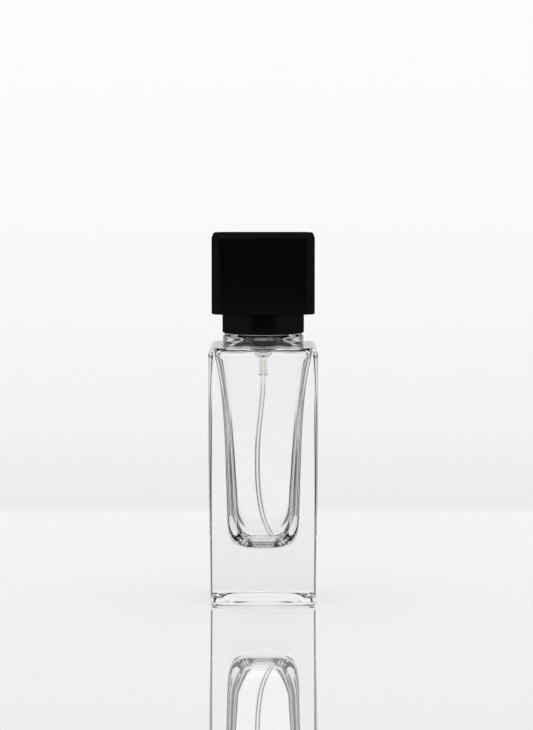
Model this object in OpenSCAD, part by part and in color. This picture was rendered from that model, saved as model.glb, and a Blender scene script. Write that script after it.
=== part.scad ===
// Aftershave spray bottle: a square heavy-base glass flacon, a crimped fine-mist pump with a dip tube,
// a stepped round collar and a pull-off square cap.
// Millimetres. The origin is the centre of the base on the surface it stands on, +Z is up,
// and the nozzle faces -Y.

/* [Glass body] */
// Width of the square body at the shoulder
body_w = 33; // [32:0.1:36]
// Width of the square body at the base
base_w = 31.8; // [31:0.1:33]
// Height of the flat shoulder
shoulder_z = 78; // [77:0.1:78.6]
// Radius of the upright corners
corner_r = 2; // [1.5:0.1:3]
// Radius of the shoulder's edge
shoulder_r = 2.2; // [1.5:0.1:2.6]
// Radius of the base's edge
base_r = 0.8; // [0.5:0.1:1.5]
// How much the base rises from its foot ring to that edge
base_rise = 0.5; // [0.1:0.1:1]
// Depth of the shallow hollow under the base
hollow_depth = 1.2; // [0.4:0.1:3]
// Half the width of that hollow
hollow_half = 13.5; // [12:0.1:13.8]
// Width of the flat foot ring around the hollow
foot_w = 0.7; // [0.4:0.1:1]

/* [Glass cavity] */
// Thickness of the solid glass under the cavity
floor_t = 16.3; // [12:0.1:17]
// Half the cavity's width where its rounded bottom ends
cavity_low = 10.95; // [10:0.05:11.8]
// How much the half width grows steadily up to the shoulder
cavity_taper = 1.25; // [0.5:0.05:2.2]
// How much more it flares just under the shoulder
cavity_flare = 2.3; // [0:0.1:2.4]
// How high the rounded bottom reaches
bottom_up = 11; // [8:0.1:15]
// Height of the cavity's top edge
ceiling_z = 75.6; // [75:0.1:75.9]

/* [Neck] */
// Radius of the round step that the collar stands on
step_r = 12.3; // [11.5:0.1:12.4]
// Height of the top of that step
step_z = 81.6; // [81:0.1:81.8]
// Radius of that step's top edge
step_edge_r = 1.3; // [0.4:0.1:1.5]
// Radius of the neck under its bead
neck_r = 6.4; // [6:0.1:6.5]
// Radius of the bead that the ferrule is crimped under
bead_r = 7.5; // [7.3:0.05:7.5]
// Radius of the bore through the neck
bore_r = 4.2; // [4.1:0.05:4.4]
// Height of the neck's lip
lip_z = 88.8; // [88.4:0.1:89.2]

/* [Pump] */
// Travel of the actuator
stroke = 3.8; // [2:0.1:3.8]
// Radius of the piston's barrel
barrel_r = 2.95; // [2.9:0.01:3]
// Radius of the spring chamber under the barrel
chamber_r = 1.95; // [1.9:0.01:2]
// Radius of the hollow stem above its stop
stem_r = 1.5; // [1.45:0.01:1.55]
// Radius of the inlet ball
ball_r = 0.95; // [0.93:0.01:0.97]
// Outer radius of the dip tube
tube_r = 0.76; // [0.7:0.01:0.77]
// Inner radius of the dip tube
tube_bore_r = 0.45; // [0.3:0.01:0.5]

/* [Actuator] */
// Outer radius of the actuator's metal sleeve
actuator_r = 6.4; // [6.2:0.05:6.5]
// Height of the actuator's top at rest
actuator_top_z = 104.2; // [103.6:0.1:104.2]
// Height of the nozzle's axis at rest
nozzle_z = 101.1; // [100.9:0.1:101.3]

/* [Collar] */
// Radius of the collar's visible ring
collar_r = 12.4; // [12:0.05:12.8]
// Radius of the spigot that the cap slides over
spigot_r = 9.9; // [9.7:0.05:10]
// Height of the ring's top, where the cap rests
collar_z = 88; // [87.4:0.1:88.2]
// Height of the spigot's top
spigot_z = 96.4; // [96:0.1:97]

/* [Cap] */
// Width of the square cap
cap_w = 31; // [30:0.1:33]
// Height of the cap's top
cap_top_z = 111.6; // [111.3:0.1:114]
// Radius of the cap's upright corners
cap_corner_r = 3.4; // [3:0.1:5]
// Radius of the cap's top edge
cap_edge_r = 0.7; // [0.3:0.1:1]
// Thickness of the cap's walls
cap_wall = 2; // [1.6:0.1:2.2]

/* [Hidden] */

$fn = 72;
arc_steps = 6;          // steps in each quarter of a rounded square
edge_steps = 5;         // steps in a rounded edge
press_gap = 0.02;       // gap between pieces pressed together
run_gap = 0.05;         // gap between pieces that slide or turn
cut = 0.5;              // how far a cutting solid runs past the face it opens
chamfer = 0.3;          // small bevel on moulded edges
lead_in = 0.1;          // smallest bevel, where a piece is pressed or slides in
near_circle = 0.98;     // corner radius of the roundest square rings, as a share of half their width

body_half = body_w / 2;
base_half = base_w / 2;
taper_top_z = 46;       // the body's sides are upright above this height
corner_top_z = 60;      // the body's upright corners are corner_r above this height
corner_loss = 0.5;      // how much of the shoulder's radius its corners lose at the top
base_corner_r = 1;      // and this at the base
foot_corner_r = 1.6;    // corner radius at the inner end of the base's edge
body_side_steps = 8;
hollow_corner_r = 5;    // corner radius of the hollow under the base
hollow_slope = 3.2;     // how far in the hollow's side slopes
hollow_crown = 0.3;     // how much higher the hollow's middle is
hollow_steps = 5;
cavity_side_steps = 8;
cavity_bottom_steps = 9;
cavity_corner_low = 3.6; // corner radius of the cavity where its rounded bottom ends
cavity_corner_top = 1.5; // and at its top
floor_corner = 0.85;    // corner radius of the cavity's floor, as a share of its half width
floor_flat = 0.2;       // half width of the flat middle of that floor, as a share of cavity_low
side_spacing = 1.5;     // rings of the cavity's sides lie closer together towards its top
flare_power = 4.5;
bottom_power_in = 4.8;  // powers of the rounded bottom's superellipse, inwards
bottom_power_up = 2.6;  // and upwards
ceiling_r = 1.15;       // radius of the cavity's top edge
ceiling_rise = 2.4;     // how much the ceiling rises towards the bore
ceiling_steps = 5;
bore_edge_r = 1.2;      // radius between the ceiling and the bore
bead_z = lip_z - 3.5;    // underside of the bead
bead_edge = 0.6;

// Stack above the lip
gasket_t = 0.8;
flange_r = 7.3;
flange_z = lip_z + gasket_t;            // underside of the housing's flange
turret_z = flange_z + 1;                // underside of the turret's disc
ferrule_z = turret_z + 1;               // underside of the ferrule's top
ferrule_t = 0.4;
ferrule_r = bead_r + lead_in + ferrule_t;   // outer radius of the ferrule
crimp_gap = 0.22;                       // room between the crimped hook and the glass
boss_r = 2.4;
boss_z = ferrule_z + 1.2;

// Housing, from the barrel down to the tail that holds the dip tube
barrel_wall = 1;
barrel_low_z = lip_z - 7.4;
barrel_bevel = 0.4;                     // height of the bevel inside the barrel's lower end
barrel_cone_h = 1.2;                    // and of the cone outside it
chamber_wall = 0.65;
chamber_low_z = lip_z - 12;             // the ledge that the return spring stands on
cone_top_z = lip_z - 13;
cone_low_z = lip_z - 15.2;
cage_r = 1.15;
cage_lip_r = 0.8;
cage_lip_t = 0.35;
seat_top_z = lip_z - 14.3;
seat_low_z = lip_z - 15.1;
seat_r = 0.55;
tail_r = 1.28;
tail_lip_r = 1.4;
tail_lip_h = 0.5;
tail_z = lip_z - 21.2;
tube_top_z = lip_z - 16.6;
seat_angle = atan((cage_r - seat_r) / (seat_top_z - seat_low_z));
seat_apex_z = seat_low_z - seat_r / tan(seat_angle);
ball_z = seat_apex_z + ball_r / sin(seat_angle) + press_gap;

// Plunger, at rest: the stem's stop lies under the seal, and the piston sits on the lower stem's cone
seal_t = 0.6;
seal_gap = 0.03;
seal_z = lip_z + 0.5;
stop_r = 2.4;
stop_t = 0.6;
stop_z = seal_z - run_gap - stop_t;
shaft_r = stem_r - 0.1;                 // the stem below its stop, which the piston slides on
stem_low_z = stop_z - 2.25;
stem_top_z = lip_z + 10.4;
stem_bore_r = 0.6;
stem_socket_r = 0.92;
stem_socket_h = 1.4;
piston_top_z = stop_z - 1.2;
piston_h = 2.1;
piston_z = piston_top_z - piston_h;
piston_lip_h = 0.45;
piston_waist_r = barrel_r - 0.4;
cone_seat_r = 1.8;
cone_seat_low_z = piston_z - 0.4;
neck_stem_r = 1.05;
lower_flange_z = cone_seat_low_z - 0.4;
pilot_r = 0.85;
pilot_z = lower_flange_z - 3.6;
plug_h = 1.2;
port_r = 0.3;

// Springs
spring_wire_r = 0.2;
spring_r = 1.55;
spring_turns = 7;
priming_wire_r = 0.11;
priming_r = 1.75;
priming_turns = 3;
spring_steps = 16;      // rings in each turn of a spring
spring_sides = 6;

// Dip tube: its centre line, from its upper end in the tail down to its free end near the floor
tube_route = [
    [0, 0, tube_top_z], [0, 0, 68.5], [-0.05, -0.15, 65.5], [-0.35, -0.8, 61], [-1, -1.5, 55],
    [-1.6, -1.8, 49], [-1.8, -1.8, 43], [-1.75, -1.8, 38], [-1.45, -1.8, 33.6], [-0.95, -1.8, 29.8],
    [-0.3, -1.8, 26.6], [0.7, -1.8, 23.4], [1.8, -1.8, 20.5], [2.7, -1.8, 18.1]
];
tube_steps = 2;         // rings for each stretch of the route
tube_sides = 12;

// Actuator
press_end_gap = 0.2;                    // room left over the ferrule when the actuator is fully pressed
actuator_low_z = ferrule_z + ferrule_t + stroke + press_end_gap;
sleeve_t = 0.35;
core_r = actuator_r - sleeve_t - press_gap;
core_top_z = actuator_top_z - sleeve_t - press_gap;
skirt_r = 4.9;
skirt_z = actuator_low_z + 3;
socket_r = 2.4;
socket_low_z = actuator_low_z + 1.3;
insert_r = 2;
insert_depth = 3.1;
insert_y = -actuator_r + 0.15;          // the insert's front face
insert_wall = 1.1;
orifice_r = 0.2;
post_r = 0.8;
feed_r = 0.5;
side_feed_r = 0.25;
side_feed_x = 1;
window_depth = 1.5;
window_gap = 0.25;                      // room around the insert in the sleeve's window

// Collar
collar_low_z = step_z + 0.1;
collar_wall = 1.2;
collar_plate_t = 1.2;
collar_grip_z = lip_z - 5;              // lower end of the tube that grips the ferrule
collar_mouth_r = 6.75;
collar_edge = 0.35;
spigot_neck = 0.4;      // how much narrower the grip tube is than the spigot

// Cap
cap_half = cap_w / 2;
cap_low_z = collar_z + 0.1;
cap_inner = cap_half - cap_wall;
cap_inner_corner = cap_corner_r - cap_wall + 0.2;
cap_roof_z = cap_top_z - 2;
cap_low_edge_r = 0.35;
cap_corner_loss = 0.7;                  // how much of the top edge's radius its corners lose
liner_r = spigot_r + run_gap;
liner_wall = 1.25;
liner_low_z = cap_low_z + 0.2;
liner_plate_t = 1.2;
liner_roof_t = 0.8;
liner_roof_z = cap_roof_z - 2 * run_gap - liner_roof_t;
liner_rib_t = 1;
liner_ribs = 8;

// Points of an arc in the plane, from angle a to angle b
function arc(centre, r, a, b, steps = edge_steps) =
    [for (k = [0:steps]) let (t = a + (b - a) * k / steps) centre + r * [cos(t), sin(t)]];

// One ring of a loft: a square of this half width with rounded corners, at height z
function square_ring(half, r, z) =
    [for (c = [0:3], k = [0:arc_steps])
        let (
            t = 90 * c + 90 * k / arc_steps,
            sx = c == 0 || c == 3 ? 1 : -1,
            sy = c < 2 ? 1 : -1
        )
        [sx * (half - r) + r * cos(t), sy * (half - r) + r * sin(t), z]];

// A closed solid through rings that run upwards and have the same number of points
module loft(rings) {
    n = len(rings[0]);
    m = len(rings);
    sides = [for (i = [0:m - 2], j = [0:n - 1], half = [0, 1])
        let (a = i * n + j, b = i * n + (j + 1) % n)
        half == 0 ? [a, a + n, b] : [b, a + n, b + n]];
    polyhedron(
        points = [for (ring = rings) each ring],
        faces = concat([[for (j = [0:n - 1]) j]], sides, [[for (j = [n - 1:-1:0]) (m - 1) * n + j]])
    );
}

// A square block with rounded upright corners
module rounded_block(half, r, z0, z1) {
    translate([0, 0, z0]) linear_extrude(z1 - z0) union() {
        square([2 * half, 2 * (half - r)], center = true);
        square([2 * (half - r), 2 * half], center = true);
        for (sx = [-1, 1], sy = [-1, 1])
            translate([sx * (half - r), sy * (half - r)]) circle(r);
    }
}

// A ring between two heights
module ring(r_out, r_in, z0, z1) {
    difference() {
        translate([0, 0, z0]) cylinder(h = z1 - z0, r = r_out);
        translate([0, 0, z0 - cut]) cylinder(h = z1 - z0 + 2 * cut, r = r_in);
    }
}

function unit(v) = v / norm(v);

// A ring of points around a point p of a path with direction d, in the plane square to d
function round_section(p, d, r, sides, side_dir) =
    let (u = unit(cross(d, side_dir)), v = cross(unit(d), u))
    [for (k = [0:sides - 1]) let (t = 360 * k / sides) p + r * cos(t) * u + r * sin(t) * v];

// A solid wire along a path of points
module wire(path, r, sides, side_dir) {
    last = len(path) - 1;
    loft([for (i = [0:last])
        round_section(path[i], path[min(i + 1, last)] - path[max(i - 1, 0)], r, sides, side_dir)]);
}

// A compression spring with closed ends: the first and last turns lie at the wire's own pitch
function spring_share(t, turns, closed) =
    t < 1 ? closed * t
    : t > turns - 1 ? 1 - closed * (turns - t)
    : closed + (1 - 2 * closed) * (t - 1) / (turns - 2);

module spring(mean_r, wire_r, z0, z1, turns) {
    height = z1 - z0 - 2 * wire_r;
    closed = 2.1 * wire_r / height;
    path = [for (k = [0:turns * spring_steps])
        let (t = k / spring_steps, z = z0 + wire_r + height * spring_share(t, turns, closed))
        [mean_r * cos(360 * t), mean_r * sin(360 * t), z]];
    wire(path, wire_r, spring_sides, [0, 0, 1]);
}

// A point of a smooth curve through four neighbours, between b and c
function curve_point(a, b, c, d, t) =
    0.5 * (2 * b + (c - a) * t + (2 * a - 5 * b + 4 * c - d) * t * t + (3 * b - a - 3 * c + d) * t * t * t);

function smooth_route(route, steps) =
    let (last = len(route) - 1)
    [for (i = [0:last - 1], k = [0:steps - 1])
        curve_point(route[max(i - 1, 0)], route[i], route[i + 1], route[min(i + 2, last)], k / steps),
     route[last]];

// A share that runs softly from 0 to 1
function ease(t) = (1 - cos(180 * max(0, min(1, t)))) / 2;

// Half the body's width at a height: narrower at the base, upright from taper_top_z
function body_half_at(z) = base_half + (body_half - base_half) * ease(z / taper_top_z);

function body_corner_at(z) = base_corner_r + (corner_r - base_corner_r) * ease(z / corner_top_z);

// How far a height is up the cavity's sides, from 0 where its rounded bottom ends to 1 at its top
function cavity_share(z) = max(0, (z - floor_t - bottom_up) / (ceiling_z - floor_t - bottom_up));

function cavity_half_at(z) =
    let (t = cavity_share(z))
    cavity_low + cavity_taper * t + cavity_flare * pow(t, flare_power);

function cavity_corner_at(z) = cavity_corner_low + (cavity_corner_top - cavity_corner_low) * cavity_share(z);

// The body from its foot ring up over the base's edge, the sides and the shoulder
module body_solid() {
    foot_out = hollow_half + foot_w;
    heel = base_half - base_r;
    foot = [for (t = [0, 0.5])
        square_ring(foot_out + (heel - foot_out) * t, hollow_corner_r + (foot_corner_r - hollow_corner_r) * t,
                    base_rise * ease(t))];
    edge = [for (p = arc([0, base_rise + base_r], base_r, -90, 0))
        square_ring(heel + p[0], foot_corner_r + (base_corner_r - foot_corner_r) * p[0] / base_r, p[1])];
    side_low_z = base_rise + base_r;
    side_high_z = shoulder_z - shoulder_r;
    side = [for (k = [1:body_side_steps])
        let (z = side_low_z + (side_high_z - side_low_z) * k / (body_side_steps + 1))
        square_ring(body_half_at(z), body_corner_at(z), z)];
    top = [for (p = arc([0, side_high_z], shoulder_r, 0, 90, edge_steps + 1))
        let (in = shoulder_r - p[0])
        square_ring(body_half - in, corner_r - in * corner_loss, p[1])];
    loft(concat(foot, edge, side, top));
}

// The shallow hollow under the base, with a softly sloped side and a slightly crowned middle
module hollow_solid() {
    flat_half = hollow_half - hollow_slope;
    mouth = square_ring(hollow_half, hollow_corner_r, -cut);
    slope = [for (k = [0:hollow_steps])
        square_ring(hollow_half - hollow_slope * k / hollow_steps, hollow_corner_r,
                    hollow_depth * ease(k / hollow_steps))];
    crown = [for (t = [0.75, 0.5, 0.25])
        square_ring(flat_half * t, min(hollow_corner_r, flat_half * t * near_circle),
                    hollow_depth + hollow_crown * (1 - t * t))];
    loft(concat([mouth], slope, crown));
}

// The space for the liquid: a superellipse bottom, flaring sides and a domed ceiling
module cavity_solid() {
    low = floor_t + bottom_up;
    low_share = cavity_corner_low / cavity_low;
    bottom = [for (k = [cavity_bottom_steps - 1:-1:1])
        let (
            depth = sin(90 * k / cavity_bottom_steps),
            half = cavity_low * pow(1 - pow(depth, bottom_power_up), 1 / bottom_power_in),
            share = low_share + (floor_corner - low_share) * depth
        )
        square_ring(half, half * share, low - bottom_up * depth)];
    flat_half = cavity_low * floor_flat;
    flat = square_ring(flat_half, flat_half * floor_corner, floor_t);
    side = [for (k = [0:cavity_side_steps])
        let (z = low + (ceiling_z - low) * (1 - pow(1 - k / cavity_side_steps, side_spacing)))
        square_ring(cavity_half_at(z), cavity_corner_at(z), z)];
    rim = cavity_half_at(ceiling_z);
    edge = [for (p = arc([rim - ceiling_r, ceiling_z], ceiling_r, 20, 90, 4))
        square_ring(p[0], cavity_corner_top, p[1])];
    mouth = bore_r + bore_edge_r;
    roof = [for (k = [ceiling_steps - 1:-1:0])
        let (
            t = k / ceiling_steps,
            half = mouth + (rim - ceiling_r - mouth) * t,
            r = half * near_circle + (cavity_corner_top - half * near_circle) * ease(t)
        )
        square_ring(half, r, ceiling_z + ceiling_r + ceiling_rise * (1 - ease(t)))];
    loft(concat([flat], bottom, side, edge, roof));
}

module glass_bottle() {
    roof_z = ceiling_z + ceiling_r + ceiling_rise;
    neck_profile = concat(
        [[0, shoulder_z - cut], [step_r, shoulder_z - cut]],
        arc([step_r - step_edge_r, step_z - step_edge_r], step_edge_r, 0, 90),
        [[neck_r, step_z], [neck_r, bead_z]],
        arc([bead_r - bead_edge, bead_z + bead_edge], bead_edge, -90, 0),
        arc([bead_r - bead_edge, lip_z - bead_edge], bead_edge, 0, 90),
        [[0, lip_z]]
    );
    bore_profile = concat(
        [[0, roof_z - cut], [bore_r + bore_edge_r, roof_z - cut]],
        arc([bore_r + bore_edge_r, roof_z + bore_edge_r], bore_edge_r, 270, 180),
        [[bore_r, lip_z - cut], [0, lip_z - cut]]
    );
    color([0.80, 0.90, 0.90, 0.45]) difference() {
        union() {
            body_solid();
            rotate_extrude() polygon(neck_profile);
        }
        cavity_solid();
        rotate_extrude() polygon(bore_profile);
        translate([0, 0, ceiling_z]) cylinder(h = lip_z - ceiling_z + cut, r = bore_r);
        hollow_solid();
    }
}

module neck_gasket() {
    color([0.93, 0.93, 0.90])
        ring(flange_r - lead_in, bore_r + lead_in, lip_z + press_gap, flange_z - press_gap);
}

module crimp_ferrule() {
    inner = ferrule_r - ferrule_t;
    bend = 0.5;
    hook_z = bead_z - crimp_gap;        // upper face of the crimped hook under the bead
    hook_r = neck_r + crimp_gap;
    profile = concat(
        [[boss_r + lead_in, ferrule_z], [inner - lead_in, ferrule_z], [inner, ferrule_z - lead_in],
         [inner, hook_z],
         [hook_r, hook_z], [hook_r, hook_z - ferrule_t]],
        arc([ferrule_r - bend, hook_z - ferrule_t + bend], bend, -90, 0),
        arc([ferrule_r - bend, ferrule_z + ferrule_t - bend], bend, 0, 90),
        [[boss_r + lead_in, ferrule_z + ferrule_t]]
    );
    color([0.80, 0.81, 0.83]) rotate_extrude() polygon(profile);
}

module shoulder_collar() {
    grip_r = ferrule_r + run_gap;
    grip_top = ferrule_z + ferrule_t + 3 * run_gap;
    profile = concat(
        [[collar_r - collar_wall, collar_low_z]],
        arc([collar_r - collar_edge, collar_low_z + collar_edge], collar_edge, -90, 0, 3),
        arc([collar_r - collar_edge, collar_z - collar_edge], collar_edge, 0, 90, 3),
        [[spigot_r, collar_z]],
        arc([spigot_r - collar_edge, spigot_z - collar_edge], collar_edge, 0, 90, 3),
        [[collar_mouth_r + chamfer, spigot_z], [collar_mouth_r, spigot_z - chamfer],
         [collar_mouth_r, grip_top], [grip_r, grip_top], [grip_r, collar_grip_z],
         [spigot_r - spigot_neck, collar_grip_z], [spigot_r - spigot_neck, collar_z - collar_plate_t],
         [collar_r - collar_wall, collar_z - collar_plate_t]]
    );
    color([0.05, 0.05, 0.05]) rotate_extrude() polygon(profile);
}

module pump_housing() {
    barrel_out = barrel_r + barrel_wall;
    chamber_out = chamber_r + chamber_wall;
    tail_bore_r = tube_r + press_gap;
    outside = [
        [flange_r, turret_z - press_gap], [flange_r, flange_z], [barrel_out, flange_z],
        [barrel_out, barrel_low_z - barrel_bevel], [chamber_out, barrel_low_z - barrel_cone_h],
        [chamber_out, cone_top_z], [tail_r, cone_low_z], [tail_r, tail_z + tail_lip_h + lead_in],
        [tail_lip_r, tail_z + tail_lip_h], [tail_lip_r, tail_z]
    ];
    inside = [
        [tail_bore_r, tail_z], [tail_bore_r, tube_top_z + press_gap], [seat_r, tube_top_z + press_gap],
        [seat_r, seat_low_z], [cage_r, seat_top_z], [cage_r, chamber_low_z - cage_lip_t],
        [cage_lip_r, chamber_low_z - cage_lip_t], [cage_lip_r, chamber_low_z], [chamber_r, chamber_low_z],
        [chamber_r, barrel_low_z - barrel_bevel], [barrel_r, barrel_low_z], [barrel_r, turret_z - press_gap]
    ];
    color([0.93, 0.94, 0.93]) rotate_extrude() polygon(concat(outside, inside));
}

module turret() {
    profile = [
        [stem_r + run_gap, seal_z + seal_t + press_gap], [barrel_r - run_gap, seal_z + seal_t + press_gap],
        [barrel_r - run_gap, turret_z], [flange_r, turret_z], [flange_r, ferrule_z - press_gap],
        [boss_r, ferrule_z - press_gap], [boss_r, boss_z - chamfer], [boss_r - chamfer, boss_z],
        [stem_r + chamfer, boss_z], [stem_r + run_gap, boss_z - chamfer]
    ];
    color([0.95, 0.95, 0.94]) rotate_extrude() polygon(profile);
}

module stem_seal() {
    color([0.20, 0.20, 0.21]) ring(barrel_r - seal_gap, stem_r + seal_gap, seal_z, seal_z + seal_t);
}

module upper_stem() {
    profile = [
        [stem_socket_r, stem_low_z], [shaft_r, stem_low_z], [shaft_r, stop_z], [stop_r, stop_z],
        [stop_r, stop_z + stop_t], [stem_r, stop_z + stop_t], [stem_r, stem_top_z - chamfer],
        [stem_r - chamfer, stem_top_z], [stem_bore_r, stem_top_z], [stem_bore_r, stem_low_z + stem_socket_h],
        [stem_socket_r, stem_low_z + stem_socket_h]
    ];
    color([0.96, 0.96, 0.95]) rotate_extrude() polygon(profile);
}

module lower_stem() {
    plug_r = stem_socket_r - press_gap;
    shoulder = stem_low_z - press_gap;
    cone_top = cone_seat_low_z + cone_seat_r - neck_stem_r;
    profile = [
        [0, pilot_z], [pilot_r - chamfer, pilot_z], [pilot_r, pilot_z + chamfer], [pilot_r, lower_flange_z],
        [cone_seat_r, lower_flange_z], [cone_seat_r, cone_seat_low_z], [neck_stem_r, cone_top],
        [neck_stem_r, shoulder], [plug_r, shoulder], [plug_r, shoulder + plug_h], [0, shoulder + plug_h]
    ];
    color([0.96, 0.96, 0.95]) difference() {
        rotate_extrude() polygon(profile);
        translate([0, 0, cone_top]) cylinder(h = shoulder + plug_h - cone_top + cut, r = plug_r / 2);
        translate([0, 0, cone_top + port_r]) rotate([0, 90, 0])
            cylinder(h = 2 * neck_stem_r + cut, r = port_r, center = true);
    }
}

module piston() {
    out = barrel_r - run_gap;
    bore = shaft_r + run_gap;
    lip_slope = 0.2;                    // from each sealing lip down to the waist
    face = out - 0.35;                  // flat end face inside each lip
    profile = [
        [bore, piston_z], [face, piston_z], [out, piston_z + lead_in], [out, piston_z + piston_lip_h],
        [piston_waist_r, piston_z + piston_lip_h + lip_slope],
        [piston_waist_r, piston_top_z - piston_lip_h - lip_slope],
        [out, piston_top_z - piston_lip_h], [out, piston_top_z - lead_in], [face, piston_top_z],
        [bore, piston_top_z]
    ];
    color([0.90, 0.91, 0.93]) rotate_extrude() polygon(profile);
}

module priming_spring() {
    color([0.75, 0.76, 0.78])
        spring(priming_r, priming_wire_r, piston_top_z + press_gap, stop_z - press_gap, priming_turns);
}

module return_spring() {
    color([0.75, 0.76, 0.78])
        spring(spring_r, spring_wire_r, chamber_low_z + press_gap, lower_flange_z - press_gap, spring_turns);
}

module inlet_ball() {
    color([0.82, 0.83, 0.85]) translate([0, 0, ball_z]) sphere(ball_r);
}

// Round sections of one radius all along a route
function route_sections(route, r) =
    let (last = len(route) - 1)
    [for (i = [0:last])
        let (back = route[max(i - 1, 0)] - route[min(i + 1, last)])
        round_section(route[i], back, r, tube_sides, [0, 1, 0])];

module dip_tube() {
    route = smooth_route(tube_route, tube_steps);
    last = len(route) - 1;
    outer = route_sections(route, tube_r);
    inner = route_sections(route, tube_bore_r);
    n = tube_sides;
    m = last + 1;
    walls = [for (i = [0:last - 1], j = [0:n - 1], side = [0, 1])
        let (a = (side * m + i) * n + j, b = (side * m + i) * n + (j + 1) % n)
        side == 0 ? [[a, b, b + n], [a, b + n, a + n]] : [[a, b + n, b], [a, a + n, b + n]]];
    ends = [for (i = [0, last], j = [0:n - 1])
        let (a = i * n + j, b = i * n + (j + 1) % n, c = (m + i) * n + j, d = (m + i) * n + (j + 1) % n)
        i == 0 ? [[a, c, d], [a, d, b]] : [[a, d, c], [a, b, d]]];
    color([0.92, 0.94, 0.94, 0.7]) polyhedron(
        points = concat([for (ring = outer) each ring], [for (ring = inner) each ring]),
        faces = concat([for (pair = walls) each pair], [for (pair = ends) each pair])
    );
}

module actuator_core() {
    insert_back = insert_y + insert_depth;
    feed_end_y = insert_back + 1;       // where the cross feed splits in two
    post_root = 0.2;                    // how deep the post starts in the core
    color([0.90, 0.90, 0.89]) difference() {
        union() {
            difference() {
                translate([0, 0, actuator_low_z]) cylinder(h = core_top_z - actuator_low_z, r = core_r);
                ring(skirt_r, socket_r, actuator_low_z - cut, skirt_z);
                translate([0, 0, actuator_low_z - cut])
                    cylinder(h = socket_low_z - actuator_low_z + cut, r = skirt_r);
                translate([0, -core_r - cut, nozzle_z]) rotate([-90, 0, 0])
                    cylinder(h = core_r + cut + insert_back + press_gap, r = insert_r + press_gap);
            }
            translate([0, insert_back + post_root, nozzle_z]) rotate([90, 0, 0])
                cylinder(h = insert_depth - insert_wall, r = post_r);
        }
        translate([0, 0, actuator_low_z])
            cylinder(h = stem_top_z + press_gap - actuator_low_z, r = stem_r + press_gap);
        translate([0, 0, stem_top_z - cut]) cylinder(h = nozzle_z - stem_top_z + cut, r = feed_r);
        translate([0, feed_end_y, nozzle_z]) rotate([-90, 0, 0]) cylinder(h = -feed_end_y, r = feed_r);
        translate([0, feed_end_y, nozzle_z]) rotate([0, 90, 0])
            cylinder(h = 2 * (side_feed_x + side_feed_r), r = side_feed_r, center = true);
        for (side = [-1, 1])
            translate([side * side_feed_x, feed_end_y, nozzle_z]) rotate([90, 0, 0])
                cylinder(h = feed_end_y - insert_back + post_root, r = side_feed_r);
    }
}

module actuator_sleeve() {
    bend = 0.6;
    inner = actuator_r - sleeve_t;
    low_z = actuator_low_z + lead_in;
    profile = concat(
        [[inner, low_z], [actuator_r, low_z]],
        arc([actuator_r - bend, actuator_top_z - bend], bend, 0, 90),
        [[0, actuator_top_z], [0, actuator_top_z - sleeve_t], [inner, actuator_top_z - sleeve_t]]
    );
    color([0.08, 0.08, 0.09]) difference() {
        rotate_extrude() polygon(profile);
        translate([0, -actuator_r - cut, nozzle_z]) rotate([-90, 0, 0])
            cylinder(h = window_depth + cut, r = insert_r + window_gap);
    }
}

module nozzle_insert() {
    dimple_r = 0.7;
    dimple_depth = 0.25;
    socket_r = post_r + 0.35;           // room for the liquid to pass the post
    swirl_depth = 0.15;
    profile = [
        [orifice_r, dimple_depth], [dimple_r, 0], [insert_r - chamfer, 0], [insert_r, chamfer],
        [insert_r, insert_depth], [socket_r, insert_depth], [socket_r, insert_wall],
        [orifice_r, insert_wall - swirl_depth]
    ];
    color([0.97, 0.97, 0.97])
        translate([0, insert_y, nozzle_z]) rotate([-90, 0, 0]) rotate_extrude() polygon(profile);
}

module cap_shell() {
    low = [for (p = arc([0, cap_low_z + cap_low_edge_r], cap_low_edge_r, -90, 0, 3))
        square_ring(cap_half - cap_low_edge_r + p[0], cap_corner_r, p[1])];
    top = [for (p = arc([0, cap_top_z - cap_edge_r], cap_edge_r, 0, 90))
        let (in = cap_edge_r - p[0])
        square_ring(cap_half - in, cap_corner_r - in * cap_corner_loss, p[1])];
    color([0.03, 0.03, 0.03]) difference() {
        loft(concat(low, top));
        rounded_block(cap_inner, cap_inner_corner, cap_low_z - cut, cap_roof_z);
    }
}

module cap_liner() {
    out = liner_r + liner_wall;
    plate_r = cap_inner - run_gap;
    color([0.06, 0.06, 0.06]) difference() {
        union() {
            translate([0, 0, liner_low_z]) cylinder(h = liner_plate_t, r = plate_r);
            translate([0, 0, liner_low_z]) cylinder(h = liner_roof_z + liner_roof_t - liner_low_z, r = out);
            for (k = [0:liner_ribs / 2 - 1]) rotate([0, 0, 360 * k / liner_ribs])
                translate([-plate_r + lead_in, -liner_rib_t / 2, liner_low_z + lead_in])
                    cube([2 * (plate_r - lead_in), liner_rib_t, liner_roof_z - liner_low_z]);
        }
        translate([0, 0, liner_low_z - cut]) cylinder(h = liner_roof_z - liner_low_z + cut, r = liner_r);
    }
}

glass_bottle();
neck_gasket();
crimp_ferrule();
shoulder_collar();
pump_housing();
turret();
stem_seal();
upper_stem();
lower_stem();
piston();
priming_spring();
return_spring();
inlet_ball();
dip_tube();
actuator_core();
actuator_sleeve();
nozzle_insert();
cap_shell();
cap_liner();
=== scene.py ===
"""Looks of the aftershave bottle: glass, cap, pump and studio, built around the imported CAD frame."""
import math

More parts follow.
